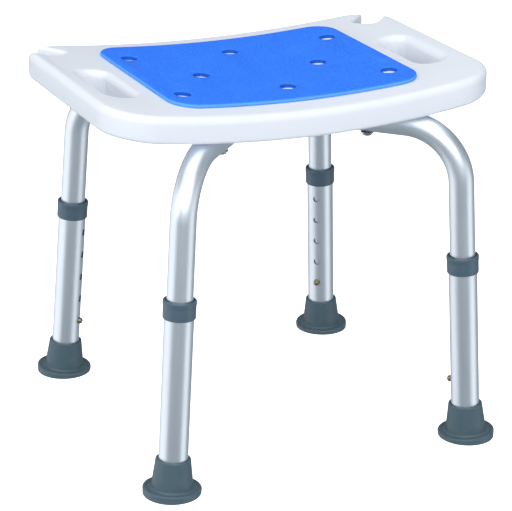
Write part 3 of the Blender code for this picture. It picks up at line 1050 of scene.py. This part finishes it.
@dataclass
class TelescopicLeg:
    """One leg: bent upper tube, its fasteners and button, and the lower tube with collar and foot."""

    shop: Workshop
    leg: Leg
    foot_x: Point2 = (0.1635, 0.1568)
    foot_y: float = 0.158
    lean: Point2 = (0.055, 0.036)
    lower_radius: float = 0.0143
    upper_radius: float = 0.0127
    wall: float = 0.0012
    lower_start: float = 0.0116
    lower_end: float = 0.1900
    upper_start: float = 0.0400
    run_height: float = 0.3250
    bend_radius: float = 0.058
    run_end: float = 0.045
    bend_steps: int = 28
    hole_count: int = 5
    hole_pitch: float = 0.0254
    first_hole: float = 0.0605
    hole_radius: float = 0.0036
    upper_drill: Point2 = (0.004, 0.02)
    lower_drill: Point2 = (0.008, 0.02)
    rim: float = 0.0003
    channel_end: float = 0.0415
    bolt_places: Point2 = (0.062, 0.112)
    collar: Collar = Collar()
    foot: Foot = Foot()
    button: SnapButton = SnapButton()
    fastener: Fastener = Fastener()

    @property
    def label(self) -> str:
        """The leg's name."""
        return self.leg.label

    @property
    def axis(self) -> Vector:
        """Unit vector up the leg."""
        sx, sy = self.leg.value
        return Vector((-sx * self.lean[0], -sy * self.lean[1], 1)).normalized()

    @property
    def foot_point(self) -> Vector:
        """Where the leg's axis meets the floor."""
        sx, sy = self.leg.value
        return Vector((sx * self.foot_x[sy > 0], sy * self.foot_y, 0))

    @property
    def frame(self) -> Matrix:
        """Leg coordinates: Z up the axis, X towards the middle of the stool, origin on the floor.

        Returns:
            The frame's matrix.
        """
        axis = self.axis
        inward = -self.foot_point
        inward = (inward - axis * axis.dot(inward)).normalized()
        side = axis.cross(inward)
        turn = Matrix((inward, side, axis)).transposed().to_4x4()
        return Matrix.Translation(self.foot_point) @ turn

    @property
    def corner(self) -> Vector:
        """Where the leg's axis reaches the height of the run under the seat."""
        return self.foot_point + self.axis * (self.run_height / self.axis.z)

    @property
    def inward(self) -> Vector:
        """Unit vector along the run towards the middle of the seat."""
        corner = self.corner
        return Vector((-corner.x, -corner.y, 0)).normalized()

    def route(self, start: float, end: float) -> list[Vector]:
        """The upper tube's centre line, up the leg, round the bend and along the run.

        Args:
            start: Where it starts up the leg.
            end: How far from the middle of the seat it ends.

        Returns:
            Its points.
        """
        axis, inward, corner = self.axis, self.inward, self.corner
        turn = axis.angle(inward)
        bend_start = corner - axis * self.bend_radius * math.tan(turn / 2)
        side = (inward - axis * axis.dot(inward)).normalized()
        points = [self.foot_point + axis * start]
        for step in range(self.bend_steps + 1):
            angle = turn * step / self.bend_steps
            along = axis * math.sin(angle) + side * (1 - math.cos(angle))
            points.append(bend_start + along * self.bend_radius)
        points.append(Vector((0, 0, self.run_height)) - inward * end)
        return points

    def channel_cutters(self) -> list[bpy.types.Object]:
        """Cutters for the tube's channel under the seat."""
        solid = swept(self.route(self.upper_start, self.channel_end), [self.upper_radius + GAP], 40)
        return [self.shop.piece(f"{self.label}_channel_cutter", solid)]

    def drill(self, name: str, span: Point2, height: float) -> bpy.types.Object:
        """A drill across the leg, towards the middle of the stool.

        Args:
            name: The drill's name.
            span: Where it starts and ends, from the leg's axis.
            height: Its height up the leg.

        Returns:
            The drill.
        """
        start, end = (Vector((reach, 0, height)) for reach in span)
        return self.shop.piece(name, cylinder(self.hole_radius, start, end), self.frame)

    def build_upper_tube(self) -> None:
        """The bent tube, drilled for its button."""
        route = [self.frame.inverted() @ p for p in self.route(self.upper_start, self.run_end)]
        bm = swept(route, [self.upper_radius, self.upper_radius - self.wall], 56)
        tube = self.shop.piece(f"{self.label}_bent_tube", bm, self.frame)
        self.shop.cut(tube, [self.drill("button_drill", self.upper_drill, self.first_hole)])
        nodes = [f"{self.label}_upper_tube"]
        self.shop.dress(tube, TUBE_SATIN, "upper_tube_aluminium", "seat_frame", nodes)

    def build_lower_tube(self) -> None:
        """The straight outer tube with chamfered rims and its row of height holes."""
        outer, inner, rim = self.lower_radius, self.lower_radius - self.wall, self.rim
        profile = [(outer, self.lower_end - rim), (outer, self.lower_start + rim)]
        profile += [(outer - rim, self.lower_start), (inner + rim, self.lower_start)]
        profile += [(inner, self.lower_start + rim), (inner, self.lower_end - rim)]
        profile += [(inner + rim, self.lower_end), (outer - rim, self.lower_end)]
        tube = self.shop.piece(f"{self.label}_sliding_tube", turned(profile, 64), self.frame)
        cutters = []
        for index in range(self.hole_count):
            height = self.first_hole + index * self.hole_pitch
            cutters.append(self.drill(f"height_drill_{index}", self.lower_drill, height))
        self.shop.cut(tube, cutters)
        self.dress_lower(tube, SLEEVE_SATIN_HOLE_SHADE, "lower_tube_aluminium", "lower_tube")

    def build_collar(self) -> None:
        """The plastic ring on the lower tube, with a shoulder groove and a lip round the upper tube."""
        sizes = self.collar
        start, end, radius = sizes.start, sizes.end, sizes.radius
        bore = self.lower_radius + GAP
        lip = self.upper_radius + 2 * GAP
        profile = arc((radius - sizes.bulge, end - sizes.bulge), sizes.bulge, 100, 0, 12)
        profile += [(radius - inset, end - depth) for inset, depth in sizes.groove]
        base = (radius - sizes.base_inset, start + sizes.base_round)
        profile += arc(base, sizes.base_round, 0, -90, 6)
        profile += [(bore, start), (bore, self.lower_end + GAP), (lip, self.lower_end + GAP)]
        profile += [(lip + outset, end - depth) for outset, depth in sizes.lip]
        ring = self.shop.piece(f"{self.label}_ring", turned(profile, 72), self.frame)
        self.dress_lower(ring, COLLAR_GREY, "grey_plastic", "collar")

    def build_foot(self) -> None:
        """The flared rubber foot, cut level with the floor, with a grooved sole."""
        sizes = self.foot
        bore, bevel = self.lower_radius + GAP, sizes.socket_chamfer
        top, flange, flange_top = sizes.top, sizes.flange, sizes.flange_top
        profile = [(0.0, sizes.socket_floor), (bore, sizes.socket_floor)]
        profile += [(bore, top - bevel), (bore + bevel, top)]
        profile += arc((sizes.top_radius - sizes.top_round, top - sizes.top_round), sizes.top_round, 90, 0, 6)
        profile += [(sizes.top_radius + sizes.shoulder[0], top - sizes.shoulder[1])]
        sweep = sizes.neck_fillet
        profile += arc((sizes.neck + sweep, flange_top - sizes.flange_dip + sweep), sweep, 185, 262, 10)
        profile += [(flange - inset, flange_top - depth) for inset, depth in sizes.rim]
        profile += arc((flange - sizes.rim_round, flange_top - sizes.rim_round), sizes.rim_round, 100, 0, 10)
        profile += [(flange - sizes.skirt[0], -sizes.skirt[1]), (0.0, -sizes.skirt[1])]
        bm = turned(profile, 96)
        bmesh.ops.transform(bm, matrix=self.frame, verts=bm.verts)
        geometry = bm.verts[:] + bm.edges[:] + bm.faces[:]
        down = (0, 0, -1)
        cut = bmesh.ops.bisect_plane(bm, geom=geometry, plane_co=(0, 0, 0), plane_no=down, clear_outer=True)
        rim = [item for item in cut["geom_cut"] if isinstance(item, bmesh.types.BMEdge)]
        bmesh.ops.contextual_create(bm, geom=rim)
        bmesh.ops.transform(bm, matrix=Matrix.Translation(-self.foot_point), verts=bm.verts)
        spot = Matrix.Translation(self.foot_point)
        foot = self.shop.piece(f"{self.label}_foot", bm, spot)
        grooves = []
        for index, ring in enumerate(sizes.tread_rings):
            tread = turned([(ring + outset, height) for outset, height in sizes.tread], 72)
            grooves.append(self.shop.piece(f"tread_cutter_{index}", tread, spot))
        self.shop.cut(foot, grooves)
        self.dress_lower(foot, FOOT_GREY, "grey_rubber", "rubber_foot")

    def build_button(self) -> None:
        """The domed snap button in the lowest hole."""
        sizes = self.button
        base = sizes.shoulder - sizes.flange_depth
        dome = sizes.radius * sizes.dome
        turns = [math.radians(9 * i) for i in range(1, 11)]
        profile = [(0.0, sizes.tip)]
        profile += [(sizes.radius * math.sin(a), sizes.tip - dome * (1 - math.cos(a))) for a in turns]
        profile += [(sizes.radius, sizes.shoulder), (sizes.flange, sizes.shoulder)]
        profile += [(sizes.flange, base), (0.0, base)]
        turn = Matrix.Translation((0, 0, self.first_hole)) @ Matrix.Rotation(math.radians(90), 4, "Y")
        pin = self.shop.piece(f"{self.label}_pin", turned(profile, 40), self.frame @ turn)
        self.shop.dress(pin, BRASS, "brass", f"{self.label}_button", [f"{self.label}_snap_button"])

    def build_bolts(self) -> None:
        """The two domed bolts with a hex recess, and their washers, under the run."""
        sizes = self.fastener
        washer_top = -self.upper_radius - GAP
        washer_bottom = washer_top - sizes.washer_height
        for place, reach in zip(("inner", "outer"), self.bolt_places):
            spot = Matrix.Translation(Vector((0, 0, self.run_height)) - self.inward * reach)
            screw, recess = self.bolt(washer_bottom - GAP)
            bolt = self.shop.piece(f"{self.label}_{place}_screw", screw, spot)
            self.shop.cut(bolt, [self.shop.piece("hex_cutter", recess, spot)])
            self.shop.dress(bolt, ZINC, "zinc_steel", "seat_frame", [f"{self.label}_{place}_bolt"])
            disc = self.shop.piece(f"{self.label}_{place}_disc", self.washer(washer_top, washer_bottom), spot)
            self.shop.dress(disc, ZINC, "zinc_steel", "seat_frame", [f"{self.label}_{place}_washer"])

    def bolt(self, head_top: float) -> tuple[bmesh.types.BMesh, bmesh.types.BMesh]:
        """A bolt and the cutter for its hex recess.

        Args:
            head_top: Height of the head's flat side.

        Returns:
            The bolt and the cutter.
        """
        sizes = self.fastener
        head_bottom = head_top - sizes.head_height
        dome = sizes.head_dome
        profile = [(0.0, sizes.tip[1]), sizes.tip, (sizes.shank, sizes.tip_start)]
        profile += [(sizes.shank, head_top), (sizes.head_top, head_top)]
        profile += [(sizes.head, head_top - sizes.chamfer), (sizes.head, head_bottom + dome)]
        for angle in (math.radians(90 * i / 8) for i in range(1, 9)):
            inset, lift = dome * (1 - math.cos(angle)), dome * (1 - math.sin(angle))
            profile.append((sizes.head - inset, head_bottom + lift))
        profile += [(0.0, head_bottom)]
        below, above = head_bottom - 0.001, head_bottom + sizes.recess_depth
        recess = cylinder(sizes.recess, Vector((0, 0, below)), Vector((0, 0, above)), 6)
        return turned(profile, 40), recess

    def washer(self, top: float, low: float) -> bmesh.types.BMesh:
        """A flat washer with broken edges, between two heights.

        Args:
            top: Height of its upper face.
            low: Height of its lower face.

        Returns:
            The mesh.
        """
        sizes = self.fastener
        edge, bore = sizes.chamfer, sizes.shank + GAP
        ring = [(sizes.washer_face, top), (sizes.washer, top - edge)]
        ring += [(sizes.washer, low + edge), (sizes.washer_face, low)]
        ring += [(bore + edge, low), (bore, low + edge), (bore, top - edge), (bore + edge, top)]
        return turned(ring, 40)

    def dress_lower(self, piece: bpy.types.Object, finish: Finish, slot: str, node: str) -> None:
        """Dress a piece of the sliding lower leg.

        Args:
            piece: The piece.
            finish: Its finish.
            slot: The record's material slot.
            node: The node it stands for, without the leg's name.
        """
        self.shop.dress(piece, finish, slot, f"{self.label}_lower_leg", [f"{self.label}_{node}"])

    def build(self) -> None:
        """Build every piece of the leg."""
        self.build_upper_tube()
        self.build_lower_tube()
        self.build_collar()
        self.build_foot()
        self.build_button()
        self.build_bolts()


@dataclass(frozen=True)
class SoftBox:
    """A soft light that the camera doesn't see."""

    name: str
    place: tuple[float, float, float]
    size: Point2
    power: float


@dataclass
class Studio:
    """Floor, soft lights and the camera."""

    azimuth: float = -25.465
    elevation: float = 20.794
    roll: float = 0.964
    distance: float = 2.203
    target: tuple[float, float, float] = (-0.00214, 0.00122, 0.1639)
    lens: float = 150.4
    floor_size: float = 14.0
    floor_shade: Colour = (0.50, 0.54, 0.58)
    floor_white: Colour = (0.93, 0.93, 0.935)
    dim_surround: Colour = (0.82, 0.93, 1.0)
    dim_strength: float = 0.33
    aim: tuple[float, float, float] = (0.0, 0.0, 0.25)
    boxes: tuple[SoftBox, ...] = (
        SoftBox("top_light", (-0.3, -0.3, 2.4), (3.2, 3.2), 41.0),
        SoftBox("front_light", (-0.5, -2.3, 1.4), (3.0, 1.6), 34.0),
        SoftBox("left_panel", (-1.80, 0.90, -0.20), (3.1, 2.4), 20.0),
        SoftBox("left_light", (-2.2, -0.5, 1.0), (1.4, 1.0), 12.0),
        SoftBox("right_panel", (1.46, -1.30, -0.40), (1.5, 2.0), 8.5),
    )

    def build(self) -> None:
        """Set the floor, the lights and the camera."""
        self.floor()
        self.world()
        self.lights()
        self.camera()

    def floor(self) -> None:
        """A plain floor: white to the camera, greyer to the stool, and neither mirrored nor shading."""
        bm = bmesh.new()
        bmesh.ops.create_grid(bm, x_segments=1, y_segments=1, size=self.floor_size)
        mesh = bpy.data.meshes.new("floor")
        bm.to_mesh(mesh)
        bm.free()
        floor = bpy.data.objects.new("floor", mesh)
        floor.location.z = -FLOOR_DEPTH
        bpy.context.scene.collection.objects.link(floor)
        graph = Graph("floor_white")
        seen = graph.add("ShaderNodeLightPath", output="Is Camera Ray")
        tone = graph.blend(seen, self.floor_shade, self.floor_white)
        graph.surface(Base_Color=tone, Roughness=0.85, Specular_IOR_Level=0.0)
        glow = graph.blend(seen, (0.0, 0.0, 0.0), (1.0, 1.0, 1.0))
        graph.surface(Emission_Color=glow, Emission_Strength=1.0)
        floor.visible_glossy = False
        floor.visible_shadow = False
        mesh.materials.append(graph.material)

    def world(self) -> None:
        """A surround that is white to the camera and evenly dim to the stool."""
        world = bpy.data.worlds.new("studio")
        graph = NodeGraph(world)
        seen = graph.add("ShaderNodeLightPath", output="Is Camera Ray")
        inputs = {"Color": self.dim_surround, "Strength": self.dim_strength}
        dim = graph.add("ShaderNodeBackground", {}, inputs)
        shown = graph.add("ShaderNodeBackground", {}, {"Color": (1.0, 1.0, 1.0)})
        mixed = graph.add("ShaderNodeMixShader", {}, {0: seen, 1: dim, 2: shown})
        graph.feed(graph.tree.nodes["World Output"].inputs["Surface"], mixed)
        bpy.context.scene.world = world

    def lights(self) -> None:
        """Soft boxes overhead, in front, at the left and at the right, two of them down past the floor."""
        for box in self.boxes:
            light = bpy.data.lights.new(box.name, "AREA")
            light.shape = "RECTANGLE"
            light.size, light.size_y = box.size
            light.energy = box.power
            lamp = bpy.data.objects.new(box.name, light)
            lamp.location = box.place
            lamp.rotation_mode = "QUATERNION"
            lamp.rotation_quaternion = (Vector(self.aim) - Vector(box.place)).to_track_quat("-Z", "Y")
            lamp.visible_camera = False
            bpy.context.scene.collection.objects.link(lamp)

    def camera(self) -> None:
        """A long lens at the stool's three-quarter view."""
        azimuth, elevation = math.radians(self.azimuth), math.radians(self.elevation)
        level = math.cos(elevation)
        back = Vector((math.sin(azimuth) * level, -math.cos(azimuth) * level, math.sin(elevation)))
        data = bpy.data.cameras.new("camera")
        data.lens = self.lens
        data.clip_start = 0.05
        camera = bpy.data.objects.new("camera", data)
        camera.rotation_mode = "QUATERNION"
        camera.location = Vector(self.target) + back * self.distance
        roll = Matrix.Rotation(math.radians(self.roll), 3, "Z")
        turn = (-back).to_track_quat("-Z", "Y").to_matrix() @ roll
        camera.rotation_quaternion = turn.to_quaternion()
        bpy.context.scene.collection.objects.link(camera)
        bpy.context.scene.camera = camera


def dress_hidden(frame: dict, shop: Workshop) -> None:
    """Give the nodes that stay as they are their finishes.

    Args:
        frame: The loaded frame.
        shop: The workshop.
    """
    for name, node in frame["nodes"].items():
        for ending, finish in HIDDEN_FINISHES.items():
            if name.endswith(ending):
                node.data.materials.clear()
                node.data.materials.append(shop.material(finish))
                LOG.info("%s keeps its shape and takes %s", name, finish.name)


def main() -> None:
    """Build the stool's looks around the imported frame."""
    logging.basicConfig(level=logging.INFO, format="%(name)s: %(message)s", stream=sys.stdout)
    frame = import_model()
    shop = Workshop()
    Studio().build()
    legs = [TelescopicLeg(shop, leg) for leg in Leg]
    seat = Seat(shop)
    seat.build_shell([cutter for leg in legs for cutter in leg.channel_cutters()])
    seat.build_pad()
    for leg in legs:
        leg.build()
    dress_hidden(frame, shop)
    bpy.context.scene.view_settings.view_transform = "Standard"


if __name__ == "__main__":
    main()
